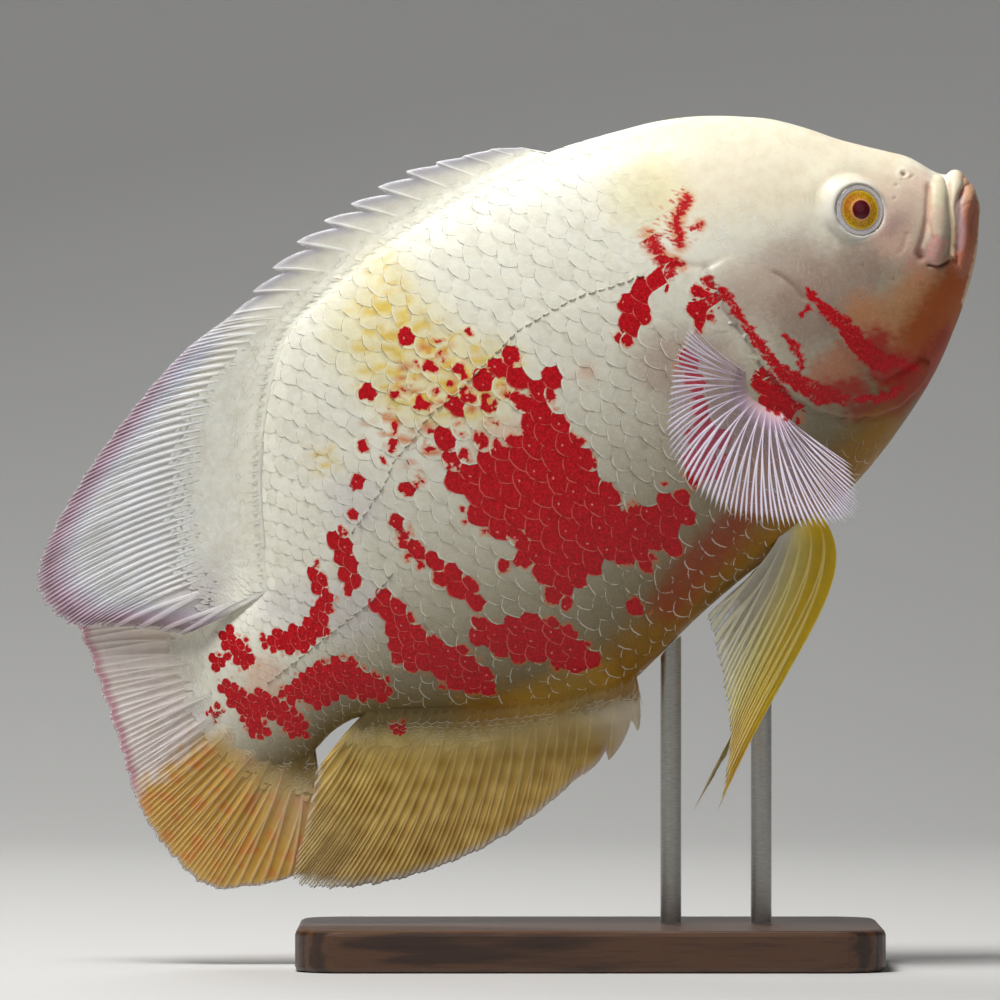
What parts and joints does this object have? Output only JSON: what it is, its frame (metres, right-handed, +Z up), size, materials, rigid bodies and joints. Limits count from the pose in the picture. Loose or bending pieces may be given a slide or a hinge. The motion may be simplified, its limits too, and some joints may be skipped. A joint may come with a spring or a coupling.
{
  "type": "oscar fish model",
  "caption": "Still life-size oscar fish with spread fins, swimming head up, held over a flat base by two short rods.",
  "frame": {"origin": "centre of the underside of the box around the whole model, on the floor", "axes": "+X toward the head, along the length; +Y to the fish's left; +Z up"},
  "size_m": [0.2728, 0.098, 0.2448],
  "materials": {
    "head": "smooth skin, cream white",
    "lower_jaw": "smooth skin, peach",
    "gill_cover_right": "smooth skin, cream with red",
    "gill_cover_left": "smooth skin, cream with red",
    "eye_right": "clear polished, gold",
    "eye_left": "clear polished, gold",
    "trunk": "scaled skin, cream white with red",
    "tail_root": "scaled skin, cream white with red",
    "dorsal_fin": "ribbed membrane, grey white",
    "anal_fin": "ribbed membrane, golden olive",
    "caudal_fin": "ribbed membrane, golden yellow",
    "pectoral_fin_right": "ribbed membrane, pale lavender",
    "pectoral_fin_left": "ribbed membrane, pale lavender",
    "pelvic_fin_right": "ribbed membrane, yellow",
    "pelvic_fin_left": "ribbed membrane, yellow",
    "stand_base": "dark satin",
    "stand_rod_front": "brushed",
    "stand_rod_rear": "brushed"
  },
  "bodies": {
    "root": {"head": "head", "lower_jaw": "lower_jaw", "gill_cover_right": "gill_cover_right", "gill_cover_left": "gill_cover_left", "eye_right": "eye_right", "eye_left": "eye_left", "trunk": "trunk", "tail_root": "tail_root", "dorsal_fin": "dorsal_fin", "anal_fin": "anal_fin", "caudal_fin": "caudal_fin", "pectoral_fin_right": "pectoral_fin_right", "pectoral_fin_left": "pectoral_fin_left", "pelvic_fin_right": "pelvic_fin_right", "pelvic_fin_left": "pelvic_fin_left", "stand_base": "stand_base", "stand_rod_front": "stand_rod_front", "stand_rod_rear": "stand_rod_rear"}
  },
  "joints": []
}
